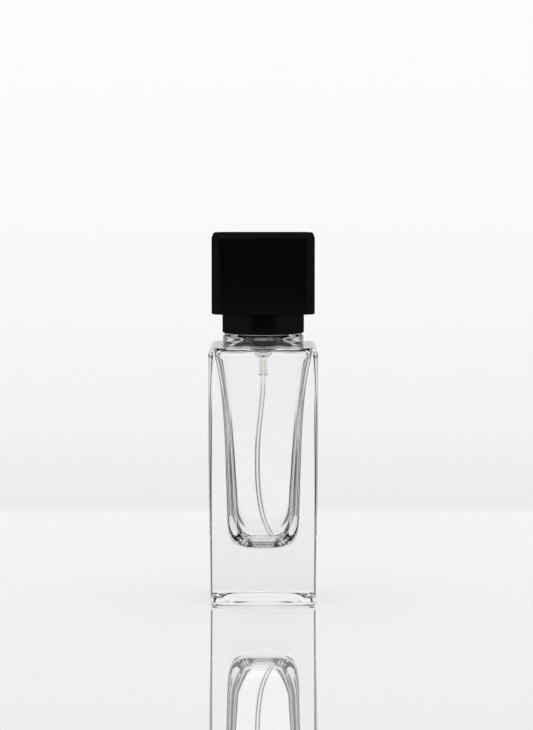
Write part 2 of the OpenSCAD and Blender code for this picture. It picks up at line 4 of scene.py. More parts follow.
import bpy
import bmesh
import numpy as np
from mathutils import Euler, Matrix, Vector


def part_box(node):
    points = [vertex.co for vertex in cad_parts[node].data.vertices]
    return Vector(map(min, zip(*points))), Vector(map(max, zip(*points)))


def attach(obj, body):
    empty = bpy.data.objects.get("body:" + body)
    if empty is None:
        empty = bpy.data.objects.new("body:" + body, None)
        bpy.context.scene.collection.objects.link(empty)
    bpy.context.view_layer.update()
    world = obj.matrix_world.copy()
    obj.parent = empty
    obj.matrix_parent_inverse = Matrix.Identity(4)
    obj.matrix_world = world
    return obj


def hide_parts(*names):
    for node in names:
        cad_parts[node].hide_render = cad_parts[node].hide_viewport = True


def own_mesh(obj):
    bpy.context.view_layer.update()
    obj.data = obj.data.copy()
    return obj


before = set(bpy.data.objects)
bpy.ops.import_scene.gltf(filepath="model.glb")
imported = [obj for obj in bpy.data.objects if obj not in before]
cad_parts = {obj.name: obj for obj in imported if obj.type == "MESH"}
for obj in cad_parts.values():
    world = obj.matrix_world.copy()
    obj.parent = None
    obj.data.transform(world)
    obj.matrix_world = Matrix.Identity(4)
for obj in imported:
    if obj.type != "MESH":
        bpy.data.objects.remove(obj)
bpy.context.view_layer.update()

MM = 0.001
TURN = 2 * math.pi

# ---------------------------------------------------------------- driving sizes, in metres, from the frame
glass_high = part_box("glass_bottle")[1]
collar_low, collar_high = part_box("shoulder_collar")
cap_low, cap_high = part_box("cap_shell")

COLLAR_GAP = 0.1 * MM        # between the glass, the collar and the cap
CRISP = 35                   # edges sharper than this many degrees are shaded crisp

LIP_Z = glass_high[2]
BODY_HALF = glass_high[0]
BASE_HALF = BODY_HALF - 0.6 * MM
STEP_Z = collar_low[2] - COLLAR_GAP
STEP_R = 12.3 * MM
SHOULDER_Z = STEP_Z - 3.6 * MM


# ---------------------------------------------------------------- mesh helpers
def mesh_object(name, points, faces, sharp_angle=None):
    """A smooth-shaded object from points and faces. Edges sharper than sharp_angle stay crisp."""
    mesh = bpy.data.meshes.new(name)
    mesh.from_pydata([tuple(p) for p in points], [], faces)
    mesh.validate()
    piece = bpy.data.objects.new(name, mesh)
    bpy.context.scene.collection.objects.link(piece)
    build = bmesh.new()
    build.from_mesh(mesh)
    bmesh.ops.recalc_face_normals(build, faces=build.faces)
    build.to_mesh(mesh)
    build.free()
    mesh.shade_smooth()
    if sharp_angle is not None:
        mesh.set_sharp_from_angle(angle=math.radians(sharp_angle))
    return piece


def skin_rings(rings, closed=False):
    """Points and faces of a skin over rings of equal length. A point closes each end of an open stack."""
    count = len(rings[0])
    points = [p for ring in rings for p in ring]
    faces = []
    spans = len(rings) if closed else len(rings) - 1
    for i in range(spans):
        a, b = i * count, (i + 1) % len(rings) * count
        for j in range(count):
            k = (j + 1) % count
            faces.append((a + j, a + k, b + k, b + j))
    if not closed:
        for end, ring in ((0, rings[0]), (len(rings) - 1, rings[-1])):
            middle = np.mean(np.array(ring), axis=0)
            points.append(tuple(middle))
            base = end * count
            for j in range(count):
                faces.append((base + j, base + (j + 1) % count, len(points) - 1))
    return points, faces


def octant_angles(steps, crowd):
    """Angles of a whole turn, the same in each octant, crowded towards the corners of a square."""
    eighth = [math.pi / 4 * (1 - (1 - k / steps) ** crowd) for k in range(steps)]
    angles = []
    for corner in range(4):
        start = corner * math.pi / 2
        angles += [start + a for a in eighth]
        angles += [start + math.pi / 2 - a for a in [math.pi / 4] + eighth[:0:-1]]
    return angles


SQUARE_ANGLES = octant_angles(26, 1.9)


def square_ring(half, corner, z):
    """A ring of a square with rounded corners. With corner equal to half it is a circle."""
    centre = half - corner
    ring = []
    for angle in SQUARE_ANGLES:
        c, s = abs(math.cos(angle)), abs(math.sin(angle))
        big, small = max(c, s), min(c, s)
        reach = half / big
        if reach * small > centre:
            total = c + s
            reach = centre * total + math.sqrt(max(0.0, centre**2 * (total**2 - 2) + corner**2))
        ring.append((reach * math.cos(angle), reach * math.sin(angle), z))
    return ring


def arc(centre, radius, start, end, steps):
    """Points of an arc in a plane, with its ends, angles in degrees."""
    found = []
    for k in range(steps + 1):
        t = math.radians(start + (end - start) * k / steps)
        found.append((centre[0] + radius * math.cos(t), centre[1] + radius * math.sin(t)))
    return found


FILLET_STEPS = 5


def rounded(profile):
    """A closed outline of (r, z) or (r, z, fillet) corners, with each fillet as an arc."""
    out = []
    count = len(profile)
    for i, corner in enumerate(profile):
        here = Vector(corner[:2])
        fillet = corner[2] if len(corner) > 2 else 0
        if not fillet:
            out.append(tuple(here))
            continue
        before = (Vector(profile[i - 1][:2]) - here).normalized()
        after = (Vector(profile[(i + 1) % count][:2]) - here).normalized()
        half = before.angle(after) / 2
        reach = fillet / math.tan(half)
        first, last = here + before * reach, here + after * reach
        middle = here + (before + after).normalized() * fillet / math.sin(half)
        a, b = first - middle, last - middle
        turn = a.angle_signed(b)
        for k in range(FILLET_STEPS + 1):
            t = -turn * k / FILLET_STEPS
            out.append((middle.x + a.x * math.cos(t) - a.y * math.sin(t),
                        middle.y + a.x * math.sin(t) + a.y * math.cos(t)))
    return out


def lathe(name, profile, sides=144):
    """A ring-shaped solid turned from a closed outline of (r, z) corners."""
    rings = [[(r * math.cos(TURN * k / sides), r * math.sin(TURN * k / sides), z) for k in range(sides)]
             for r, z in rounded(profile)]
    points, faces = skin_rings(rings, closed=True)
    return mesh_object(name, points, faces, CRISP)


def smooth_path(corners, steps):
    """A smooth curve through points (Catmull-Rom)."""
    last = len(corners) - 1
    found = []
    for i in range(last):
        a, b, c, d = (Vector(corners[min(max(i + k, 0), last)]) for k in (-1, 0, 1, 2))
        for k in range(steps):
            t = k / steps
            found.append(0.5 * (2 * b + (c - a) * t + (2 * a - 5 * b + 4 * c - d) * t**2
                                + (3 * b - a - 3 * c + d) * t**3))
    found.append(Vector(corners[-1]))
    return found


def path_rings(path, radius, sides, side_dir):
    """Round sections square to a path, which never runs along side_dir."""
    rings = []
    for i, here in enumerate(path):
        along = (path[min(i + 1, len(path) - 1)] - path[max(i - 1, 0)]).normalized()
        u = along.cross(Vector(side_dir)).normalized()
        v = along.cross(u)
        rings.append([tuple(here + radius * (math.cos(TURN * k / sides) * u + math.sin(TURN * k / sides) * v))
                      for k in range(sides)])
    return rings


# ---------------------------------------------------------------- materials
def material(name, **values):
    """A Principled material. Values are set on the shader's sockets."""
    made = bpy.data.materials.new(name)
    made.use_nodes = True
    shader = made.node_tree.nodes["Principled BSDF"]
    for socket, value in values.items():
        shader.inputs[socket.replace("_", " ")].default_value = value
    return made


def add_node(mat, kind, **values):
    """A new node in a material. Values are set on its sockets."""
    node = mat.node_tree.nodes.new(kind)
    for socket, value in values.items():
        node.inputs[socket.replace("_", " ")].default_value = value
    return node


def shader_of(mat):
    """A material's Principled shader."""
    return mat.node_tree.nodes["Principled BSDF"]


def link(mat, source, out, target, into):
    """Joins one node's named output to another's named input."""
    mat.node_tree.links.new(source.outputs[out], target.inputs[into])


EVEN = (1, 1, 1)
ALONG_Z = (1, 1, 0.1)        # grain drawn out along the piece's height


def place(mat, stretch=EVEN):
    """Coordinates in the piece's own frame, in metres, stretched for grain with a direction."""
    where = add_node(mat, "ShaderNodeTexCoord")
    scale = add_node(mat, "ShaderNodeMapping")
    scale.inputs["Scale"].default_value = stretch
    link(mat, where, "Object", scale, "Vector")
    return scale


def grain(mat, size, depth, detail=3.0, stretch=EVEN):
    """Fine relief with bumps of this size and depth, in metres."""
    where = place(mat, stretch)
    pattern = add_node(mat, "ShaderNodeTexNoise", Scale=1 / size, Detail=detail, Roughness=0.6)
    bump = add_node(mat, "ShaderNodeBump", Strength=1.0, Distance=depth)
    link(mat, where, "Vector", pattern, "Vector")
    link(mat, pattern, "Fac", bump, "Height")
    link(mat, bump, "Normal", shader_of(mat), "Normal")


NOISE_RANGE = (0.3, 0.7)     # the noise texture's values that are spread over a whole range


def mottle(mat, size, colours):
    """Slow colour variation between two near colours."""
    where = place(mat)
    pattern = add_node(mat, "ShaderNodeTexNoise", Scale=1 / size, Detail=4.0)
    ramp = add_node(mat, "ShaderNodeValToRGB")
    for element, position, colour in zip(ramp.color_ramp.elements, NOISE_RANGE, colours):
        element.position = position
        element.color = (*colour, 1)
    link(mat, where, "Vector", pattern, "Vector")
    link(mat, pattern, "Fac", ramp, "Fac")
    link(mat, ramp, "Color", shader_of(mat), "Base Color")


def rub(mat, size, low, high, stretch=EVEN):
    """Roughness that varies between two values, as handling leaves it."""
    where = place(mat, stretch)
    pattern = add_node(mat, "ShaderNodeTexNoise", Scale=1 / size, Detail=5.0)
    spread = add_node(mat, "ShaderNodeMapRange")
    spread.inputs["From Min"].default_value, spread.inputs["From Max"].default_value = NOISE_RANGE
    spread.inputs["To Min"].default_value = low
    spread.inputs["To Max"].default_value = high
    link(mat, where, "Vector", pattern, "Vector")
    link(mat, pattern, "Fac", spread, "Value")
    link(mat, spread, "Result", shader_of(mat), "Roughness")


def clear_glass():
    """Pressed flint glass: clear and polished, with the faint slow ripple that moulding leaves."""
    made = material("clear_glass", Base_Color=(0.995, 1, 0.998, 1), Roughness=0.0, IOR=1.5,
                    Transmission_Weight=1.0)
    grain(made, 9 * MM, 0.012 * MM, detail=0.0)
    return made


def tube_plastic():
    """The dip tube's clear plastic: a little cloudy, with drawing lines along it."""
    made = material("tube_plastic", Roughness=0.06, IOR=1.25, Transmission_Weight=1.0)
    mottle(made, 2.5 * MM, ((0.955, 0.955, 0.945), (0.98, 0.98, 0.97)))
    grain(made, 0.3 * MM, 0.003 * MM, stretch=ALONG_Z)
    return made


def housing_plastic():
    """The pump housing's milky plastic, which lets the light through and blurs it."""
    made = material("housing_plastic", Base_Color=(0.99, 0.99, 0.96, 1), Roughness=0.3, IOR=1.1,
                    Transmission_Weight=1.0)
    grain(made, 0.25 * MM, 0.002 * MM)
    return made


def rubber():
    """Black rubber: matt, with a fine moulded grain."""
    made = material("seal_rubber")
    mottle(made, 1.5 * MM, ((0.024, 0.024, 0.026), (0.038, 0.038, 0.04)))
    rub(made, 1 * MM, 0.55, 0.75)
    grain(made, 0.15 * MM, 0.004 * MM)
    return made


def satin_black(name, level, sheen, rough):
    """Black plastic or lacquer of this brightness: almost matt, with a thin even sheen and a fine grain."""
    made = material(name, Specular_IOR_Level=0.0)
    mottle(made, 6 * MM, ((level * 0.85,) * 3, (level * 1.15,) * 3))
    rub(made, 4 * MM, *rough)
    grain(made, 0.12 * MM, 0.002 * MM)
    gloss = add_node(made, "ShaderNodeBsdfGlossy", Color=(0.8, 0.8, 0.82, 1), Roughness=rough[0])
    mix = add_node(made, "ShaderNodeMixShader", Fac=sheen)
    out = made.node_tree.nodes["Material Output"]
    made.node_tree.links.new(shader_of(made).outputs["BSDF"], mix.inputs[1])
    made.node_tree.links.new(gloss.outputs["BSDF"], mix.inputs[2])
    link(made, mix, "Shader", out, "Surface")
    return made


def moulded(name, colour, rough):
    """Pale moulded plastic: slightly cloudy, with a fine mould grain."""
    made = material(name)
    darker = tuple(c * 0.94 for c in colour)
    mottle(made, 3 * MM, (darker, colour))
    rub(made, 2 * MM, rough * 0.85, rough * 1.2)
    grain(made, 0.25 * MM, 0.003 * MM)
    return made


def drawn_metal(name, colour, rough, stretch):
    """Metal with fine marks, drawn out by this stretch where it was drawn or turned."""
    made = material(name, Metallic=1.0)
    mottle(made, 2 * MM, (tuple(c * 0.9 for c in colour), colour))
    rub(made, 0.4 * MM, rough * 0.8, rough * 1.3, stretch=stretch)
    grain(made, 0.3 * MM, 0.003 * MM, stretch=stretch)
    return made


# ---------------------------------------------------------------- glass bottle
# body
TAPER_TOP_Z = 46 * MM        # the sides are upright above this height
CORNER_TOP_Z = 60 * MM       # and the upright corners keep their radius above this one
BASE_CORNER = 1 * MM
BODY_CORNER = 2 * MM
SHOULDER_R = 2.2 * MM
CORNER_LOSS = 0.5            # how much of the shoulder's radius its corners lose at the top
# foot ring, with the hollow inside it and the heel around it
FOOT_IN = 13.5 * MM
FOOT_OUT = 14.2 * MM
FOOT_CORNER = 1.6 * MM
HEEL_R = 0.8 * MM
HEEL_RISE = 0.5 * MM
RECESS_DEPTH = 1.2 * MM
RECESS_CROWN = 0.3 * MM      # the hollow is this much deeper in the middle
RECESS_SLOPE = 3.2 * MM
RECESS_CORNER = 5 * MM
NEAR_CIRCLE = 0.98           # corner radius of the hollow's smallest rings, as a share of half their width
# step, neck, bead and bore
STEP_FILLET = 0.5 * MM
STEP_EDGE = 1.3 * MM
NECK_R = 6.4 * MM
NECK_FILLET = 0.5 * MM
BEAD_R = 7.5 * MM
BEAD_Z = LIP_Z - 3.5 * MM
BEAD_EDGE = 0.6 * MM
BORE_R = 4.2 * MM
LIP_EDGE = 0.3 * MM
BORE_EDGE = 1.2 * MM
BORE_EDGE_END = 268          # degrees: not quite level, where the ceiling slopes on
# cavity
CEILING_Z = 75.6 * MM        # where its flared walls end
CEILING_EDGE = 1.15 * MM
CEILING_EDGE_START = 12      # degrees: not quite upright, where the wall flares on
CEILING_CORNER = 1.3 * MM
CEILING_RISE = 2.4 * MM
CAVITY_LOW = 10.95 * MM      # half its width where its rounded bottom ends
CAVITY_TAPER = 1.25 * MM     # what it gains evenly up the sides
CAVITY_FLARE = 2.3 * MM      # and what it gains in a flare towards the ceiling
FLARE_POWER = 4.5
CAVITY_CORNER_LOW = 3.6 * MM
CAVITY_CORNER_TOP = 1.5 * MM
FLOOR_Z = 16.3 * MM
BOTTOM_UP = 11 * MM          # height of its rounded bottom
BOTTOM_POWER_IN = 4.8        # whose outline is a superellipse with these two powers
BOTTOM_POWER_UP = 2.6
CORNER_FLOOR = 0.85          # corner radius at the floor, as a share of half the width
# rings in each stretch of the skin
SIDE_STEPS = 34
CAVITY_STEPS = 40
BOWL_STEPS = 26


def ease(t):
    """A share that runs softly from 0 to 1."""
    return (1 - math.cos(math.pi * min(max(t, 0), 1))) / 2


def body_half(z):
    """Half the body's width at a height."""
    return BASE_HALF + (BODY_HALF - BASE_HALF) * ease(z / TAPER_TOP_Z)


def body_corner(z):
    """The radius of the body's upright corners at a height."""
    return BASE_CORNER + (BODY_CORNER - BASE_CORNER) * ease(z / CORNER_TOP_Z)


def cavity_share(z):
    """How far a height is up the cavity's sides, from 0 where its rounded bottom ends to 1 at its top."""
    return max(0.0, (z - FLOOR_Z - BOTTOM_UP) / (CEILING_Z - FLOOR_Z - BOTTOM_UP))


def cavity_half(z):
    """Half the cavity's width at a height above its rounded bottom."""
    t = cavity_share(z)
    return CAVITY_LOW + CAVITY_TAPER * t + CAVITY_FLARE * t**FLARE_POWER


def cavity_corner(z):
    """The radius of the cavity's upright corners at a height."""
    t = cavity_share(z)
    return CAVITY_CORNER_LOW + (CAVITY_CORNER_TOP - CAVITY_CORNER_LOW) * t


def base_rings():
    """The hollow under the base, from its crowned middle out to the foot ring, and up to the base's edge."""
    rings = []
    flat = FOOT_IN - RECESS_SLOPE
    for t in np.arange(1, 9) / 9:
        half = flat * t
        rings.append(square_ring(half, min(half * NEAR_CIRCLE, RECESS_CORNER),
                                 RECESS_DEPTH + RECESS_CROWN * (1 - t**2)))
    for t in np.linspace(0, 1, 11):
        rings.append(square_ring(flat + RECESS_SLOPE * t, RECESS_CORNER, RECESS_DEPTH * (1 - ease(t))))
    heel_in = BASE_HALF - HEEL_R
    for t in np.arange(7) / 7:
        half = FOOT_OUT + (heel_in - FOOT_OUT) * t
        corner = RECESS_CORNER + (FOOT_CORNER - RECESS_CORNER) * (half - FOOT_IN) / (heel_in - FOOT_IN)
        rings.append(square_ring(half, corner, HEEL_RISE * ease(t)))
    for r, z in arc((heel_in, HEEL_RISE + HEEL_R), HEEL_R, -90, 0, 12):
        inset = BASE_HALF - r
        rings.append(square_ring(r, BASE_CORNER + (FOOT_CORNER - BASE_CORNER) * inset / HEEL_R, z))
    return rings


def side_rings():
    """Up the sides, over the shoulder's edge and in to the foot of the round step."""
    rings = []
    top = SHOULDER_Z - SHOULDER_R
    low = HEEL_RISE + HEEL_R
    for k in range(1, SIDE_STEPS):
        z = low + (top - low) * k / SIDE_STEPS
        rings.append(square_ring(body_half(z), body_corner(z), z))
    for r, z in arc((BODY_HALF - SHOULDER_R, top), SHOULDER_R, 0, 90, 12):
        rings.append(square_ring(r, BODY_CORNER - (BODY_HALF - r) * CORNER_LOSS, z))
    start = BODY_HALF - SHOULDER_R
    start_corner = BODY_CORNER - SHOULDER_R * CORNER_LOSS
    for t in (0.25, 0.5, 0.75):
        half = start + (STEP_R + STEP_FILLET - start) * t
        rings.append(square_ring(half, start_corner + (half - start_corner) * t, SHOULDER_Z))
    return rings


def neck_rings():
    """From the step's foot over the step, up the neck, over the bead and lip, and down the bore."""
    profile = arc((STEP_R + STEP_FILLET, SHOULDER_Z + STEP_FILLET), STEP_FILLET, 270, 180, 8)
    profile += arc((STEP_R - STEP_EDGE, STEP_Z - STEP_EDGE), STEP_EDGE, 0, 90, 10)
    profile += arc((NECK_R + NECK_FILLET, STEP_Z + NECK_FILLET), NECK_FILLET, 270, 180, 5)
    profile += [(NECK_R, BEAD_Z - BEAD_EDGE / 2)]
    profile += arc((BEAD_R - BEAD_EDGE, BEAD_Z + BEAD_EDGE), BEAD_EDGE, -90, 0, 6)
    profile += arc((BEAD_R - BEAD_EDGE, LIP_Z - BEAD_EDGE), BEAD_EDGE, 0, 90, 6)
    profile += arc((BORE_R + LIP_EDGE, LIP_Z - LIP_EDGE), LIP_EDGE, 90, 180, 4)
    profile += [(BORE_R, LIP_Z - depth * MM) for depth in (4, 8)]
    return [square_ring(r, r, z) for r, z in profile]


def cavity_rings():
    """From the bore down over the ceiling and the walls to the floor."""
    rings = []
    rim = cavity_half(CEILING_Z) - CEILING_EDGE
    roof_z = CEILING_Z + CEILING_EDGE
    mouth = BORE_R + BORE_EDGE
    for r, z in arc((mouth, roof_z + CEILING_RISE + BORE_EDGE), BORE_EDGE, 180, BORE_EDGE_END, 6):
        rings.append(square_ring(r, r, z))
    for t in (0.2, 0.4, 0.6, 0.8):
        half = mouth + (rim - mouth) * t
        corner = half + (CAVITY_CORNER_TOP - half) * ease(t)
        rings.append(square_ring(half, corner, roof_z + CEILING_RISE * (1 - ease(t))))
    for r, z in reversed(arc((rim, CEILING_Z), CEILING_EDGE, CEILING_EDGE_START, 90, 8)):
        rings.append(square_ring(r, CEILING_CORNER, z))
    low = FLOOR_Z + BOTTOM_UP
    for k in range(1, CAVITY_STEPS + 1):
        z = CEILING_Z + (low - CEILING_Z) * k / CAVITY_STEPS
        rings.append(square_ring(cavity_half(z), cavity_corner(z), z))
    share_low = CAVITY_CORNER_LOW / CAVITY_LOW
    for k in range(1, BOWL_STEPS):
        depth = math.sin(math.pi / 2 * k / BOWL_STEPS)
        half = CAVITY_LOW * (1 - depth**BOTTOM_POWER_UP) ** (1 / BOTTOM_POWER_IN)
        share = share_low + (CORNER_FLOOR - share_low) * depth
        rings.append(square_ring(half, half * share, low - BOTTOM_UP * depth))
    last = rings[-1]
    for t in (0.6, 0.25):
        drop = (FLOOR_Z - last[0][2]) * (1 - t)
        rings.append([(x * t, y * t, z + drop) for x, y, z in last])
    return rings


def make_glass():
    """One closed skin, from the middle of the base over the outside, down the bore and around the cavity."""
    points, faces = skin_rings(base_rings() + side_rings() + neck_rings() + cavity_rings())
    piece = mesh_object("glass_body", points, faces)
    piece.data.materials.append(clear_glass())
    return piece


# ---------------------------------------------------------------- cap and collar
CAP_HALF = cap_high[0]
CAP_CORNER = 3.4 * MM
CAP_EDGE = 0.7 * MM
CAP_EDGE_CORNER_LOSS = 0.9
CAP_WALL = 2.0 * MM
CAP_INNER_CORNER = CAP_CORNER - CAP_WALL + 0.2 * MM
CAP_INNER_EDGE = 0.3 * MM
CAP_RIM_R = 0.35 * MM        # radius of the two edges of the cap's open rim
SPIGOT_R = 9.9 * MM
GRIP_IN_R = 8.05 * MM        # the collar's tube around the ferrule
GRIP_OUT_R = SPIGOT_R - 0.4 * MM
COLLAR_WALL = 1.2 * MM
COLLAR_MOUTH_R = 6.75 * MM


def make_cap():
    """One skin from the middle of the ceiling down the inside, around the rim and up over the outside."""
    low, top = cap_low[2], cap_high[2]
    inner = CAP_HALF - CAP_WALL
    roof_z = top - CAP_WALL
    spread = (0.05, 0.5, 0.97)
    rings = [square_ring(inner * t, CAP_INNER_CORNER * t, roof_z) for t in spread]
    for r, z in arc((inner - CAP_INNER_EDGE, roof_z - CAP_INNER_EDGE), CAP_INNER_EDGE, 90, 0, 4):
        rings.append(square_ring(r, CAP_INNER_CORNER, z))
    for r, z in arc((inner + CAP_RIM_R, low + CAP_RIM_R), CAP_RIM_R, 180, 270, 5):
        rings.append(square_ring(r, CAP_INNER_CORNER + r - inner, z))
    for r, z in arc((CAP_HALF - CAP_RIM_R, low + CAP_RIM_R), CAP_RIM_R, -90, 0, 5):
        rings.append(square_ring(r, CAP_CORNER - (CAP_HALF - r), z))
    for r, z in arc((CAP_HALF - CAP_EDGE, top - CAP_EDGE), CAP_EDGE, 0, 90, 8):
        rings.append(square_ring(r, CAP_CORNER - (CAP_HALF - r) * CAP_EDGE_CORNER_LOSS, z))
    top_half = CAP_HALF - CAP_EDGE
    top_corner = CAP_CORNER - CAP_EDGE * CAP_EDGE_CORNER_LOSS
    rings += [square_ring(top_half * t, top_corner * t, top) for t in reversed(spread)]
    points, faces = skin_rings(rings)
    piece = mesh_object("cap_outer_shell", points, faces)
    piece.data.materials.append(satin_black("black_cap", level=0.003, sheen=0.005, rough=(0.2, 0.26)))
    return piece


def make_collar():
    """The visible ring, the spigot that the cap slides over, and the tube that grips the ferrule."""
    r = collar_high[0]
    low, top = collar_low[2], collar_high[2]
    ring_top = cap_low[2] - COLLAR_GAP
    plate_low = ring_top - COLLAR_WALL
    grip_low = LIP_Z - 5 * MM
    grip_top = LIP_Z + 3.35 * MM
    profile = [
        (r - COLLAR_WALL, low, 0.1 * MM), (r, low, 0.3 * MM), (r, ring_top, 0.3 * MM),
        (SPIGOT_R, ring_top, 0.15 * MM), (SPIGOT_R, top, 0.4 * MM), (COLLAR_MOUTH_R, top, 0.3 * MM),
        (COLLAR_MOUTH_R, grip_top, 0.1 * MM), (GRIP_IN_R, grip_top, 0.1 * MM),
        (GRIP_IN_R, grip_low, 0.1 * MM), (GRIP_OUT_R, grip_low, 0.1 * MM),
        (GRIP_OUT_R, plate_low, 0.2 * MM), (r - COLLAR_WALL, plate_low, 0.2 * MM),
    ]
    piece = lathe("collar_ring", profile)
    piece.data.materials.append(satin_black("black_collar", level=0.003, sheen=0.006, rough=(0.18, 0.24)))
    return piece


# ---------------------------------------------------------------- pump
TUBE_R = 0.76 * MM
TUBE_BORE_R = 0.45 * MM
TUBE_SIDES = 32
TUBE_STEPS = 8               # rings for each stretch of the route
# the tube's centre line in millimetres, from its upper end in the housing's tail to its free end
TUBE_ROUTE = [
    (0, 0, 72.2), (0, 0, 68.5), (-0.05, -0.15, 65.5), (-0.35, -0.8, 61), (-1, -1.5, 55),
    (-1.6, -1.8, 49), (-1.8, -1.8, 43), (-1.75, -1.8, 38), (-1.45, -1.8, 33.6), (-0.95, -1.8, 29.8),
    (-0.3, -1.8, 26.6), (0.7, -1.8, 23.4), (1.8, -1.8, 20.5), (2.7, -1.8, 18.1),
]


def make_dip_tube():
    """A clear tube swept along the route, open at both ends."""
    path = smooth_path([tuple(c * MM for c in corner) for corner in TUBE_ROUTE], TUBE_STEPS)
    outside = path_rings(path, TUBE_R, TUBE_SIDES, side_dir=(0, 1, 0))
    inside = path_rings(path, TUBE_BORE_R, TUBE_SIDES, side_dir=(0, 1, 0))
    points, faces = skin_rings(outside + inside[::-1], closed=True)
    piece = mesh_object("dip_tube_clear", points, faces, CRISP)
    piece.data.materials.append(tube_plastic())
    return piece


def below_lip(*corners):
    """Outline corners from (radius, depth below the glass's lip, fillet) in millimetres."""
    return [(r * MM, LIP_Z - depth * MM, fillet * MM) for r, depth, fillet in corners]


def make_housing():
    """The flange and the stepped outside down to the tail's lip, then the inside up to the barrel's mouth."""
    outside = below_lip((7.3, -1.78, 0.1), (7.3, -0.8, 0.1), (3.95, -0.8, 0), (3.95, 7.8, 0.2),
                        (2.6, 8.6, 0.2), (2.6, 13, 0.25), (1.33, 15.2, 0.2), (1.28, 15.5, 0),
                        (1.28, 20.3, 0), (1.4, 20.8, 0.05), (1.4, 21.2, 0.08))
    tube_socket = below_lip((0.78, 21.2, 0), (0.78, 16.58, 0), (0.55, 16.58, 0))
    ball_seat = below_lip((0.55, 15.1, 0), (1.15, 14.3, 0), (1.15, 12.35, 0), (0.8, 12.35, 0), (0.8, 12, 0))
    barrel = below_lip((1.95, 12, 0), (1.95, 7.8, 0), (2.95, 7.4, 0), (2.95, -1.78, 0))
    piece = lathe("pump_housing_milky", outside + tube_socket + ball_seat + barrel, sides=96)
    piece.data.materials.append(housing_plastic())
    return piece


def make_ferrule():
    """The aluminium cup crimped under the bead."""
    corner_low, corner_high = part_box("crimp_ferrule")
    r, low, high = corner_high[0], corner_low[2], corner_high[2]
    wall = 0.4 * MM
    hook_r, hole_r = 6.65 * MM, 2.5 * MM
    profile = [
        (hole_r, high - wall), (r - wall, high - wall, 0.1 * MM), (r - wall, low + wall, 0.1 * MM),
        (hook_r, low + wall, 0.1 * MM), (hook_r, low, 0.1 * MM), (r, low, 0.5 * MM), (r, high, 0.5 * MM),
        (hole_r, high, 0.1 * MM),
    ]
    piece = lathe("ferrule_aluminium", profile)
    aluminium = drawn_metal("crimp_aluminium", (0.76, 0.77, 0.79), rough=0.3, stretch=ALONG_Z)
    piece.data.materials.append(aluminium)
    return piece


COIL_STEPS = 28              # rings in each turn
COIL_CLOSED = 2.1            # pitch of the first and last turn, in wire radii


def make_coil(name, node, wire, turns, made):
    """A compression spring with closed ends, as tall and as wide as its node. wire is the wire's radius."""
    low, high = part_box(node)
    radius = high[0] - wire
    height = high[2] - low[2] - 2 * wire
    closed = COIL_CLOSED * wire / height
    path = []
    for k in range(turns * COIL_STEPS + 1):
        t = k / COIL_STEPS
        if t < 1:
            share = closed * t
        elif t > turns - 1:
            share = 1 - closed * (turns - t)
        else:
            share = closed + (1 - 2 * closed) * (t - 1) / (turns - 2)
        path.append(Vector((radius * math.cos(TURN * t), radius * math.sin(TURN * t),
                            low[2] + wire + height * share)))
    points, faces = skin_rings(path_rings(path, wire, sides=12, side_dir=(0, 0, 1)))
    piece = mesh_object(name, points, faces, CRISP)
    piece.data.materials.append(made)
    return piece


def make_sleeve():
    """The actuator's black metal sleeve, with the window in front of the nozzle."""
    low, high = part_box("actuator_sleeve")
    insert_low, insert_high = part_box("nozzle_insert")
    r, wall, bend = high[0], 0.35 * MM, 0.6 * MM
    middle = 0.02 * MM           # the outline stops just short of the axis
    profile = [
        (r - wall, low[2], 0.08 * MM), (r, low[2], 0.08 * MM), (r, high[2], bend), (middle, high[2]),
        (middle, high[2] - wall), (r - wall, high[2] - wall, 0.3 * MM),
    ]
    piece = lathe("sleeve_black", profile, sides=180)
    window_gap = 0.25 * MM
    window_r = (insert_high[0] - insert_low[0]) / 2 + window_gap
    window_z = (insert_high[2] + insert_low[2]) / 2
    sides = 72
    rings = [[(window_r * math.cos(TURN * k / sides), y, window_z + window_r * math.sin(TURN * k / sides))
              for k in range(sides)] for y in (-r - 1 * MM, -r + 1.6 * MM)]
    cutter = mesh_object("window_cutter", *skin_rings(rings))
    cut = piece.modifiers.new("window", "BOOLEAN")
    cut.operation = "DIFFERENCE"
    cut.solver = "EXACT"
    cut.object = cutter
    bpy.context.view_layer.update()
    solid = bpy.data.meshes.new_from_object(piece.evaluated_get(bpy.context.evaluated_depsgraph_get()))
    piece.modifiers.clear()
    piece.data = solid
    bpy.data.objects.remove(cutter)
    solid.set_sharp_from_angle(angle=math.radians(CRISP))
    solid.materials.clear()
    solid.materials.append(satin_black("black_sleeve", level=0.008, sheen=0.02, rough=(0.2, 0.28)))
    return piece


def dress(made, *nodes):
    """Gives a material to CAD nodes that keep their own shape."""
    for node in nodes:
        for material_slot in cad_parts[node].material_slots:
            material_slot.material = made


# ---------------------------------------------------------------- studio
CAMERA_DISTANCE = 0.9
CAMERA_HEIGHT = 0.152
CAMERA_SIDE = 0.001
CAMERA_PITCH = 5.1           # degrees down
CAMERA_LENS = 146.2          # millimetres, as the sensor's width
CAMERA_SENSOR = 36


def make_camera():
    """A long lens in front of the bottle, a little above its cap."""
    data = bpy.data.cameras.new("camera")
    data.lens = CAMERA_LENS
    data.sensor_width = CAMERA_SENSOR
    camera = bpy.data.objects.new("camera", data)
    camera.location = (CAMERA_SIDE, -CAMERA_DISTANCE, CAMERA_HEIGHT)
    camera.rotation_euler = Euler((math.radians(90 - CAMERA_PITCH), 0, 0))
    bpy.context.scene.collection.objects.link(camera)
    bpy.context.scene.camera = camera


# table
TABLE_BACK = 0.196
TABLE_FRONT = 0.5
TABLE_SIDE = 0.4
TABLE_FADE = 0.021
TABLE_MIRROR = 0.8
TABLE_GAP = 0.05 * MM        # keeps the table's face apart from the foot ring's
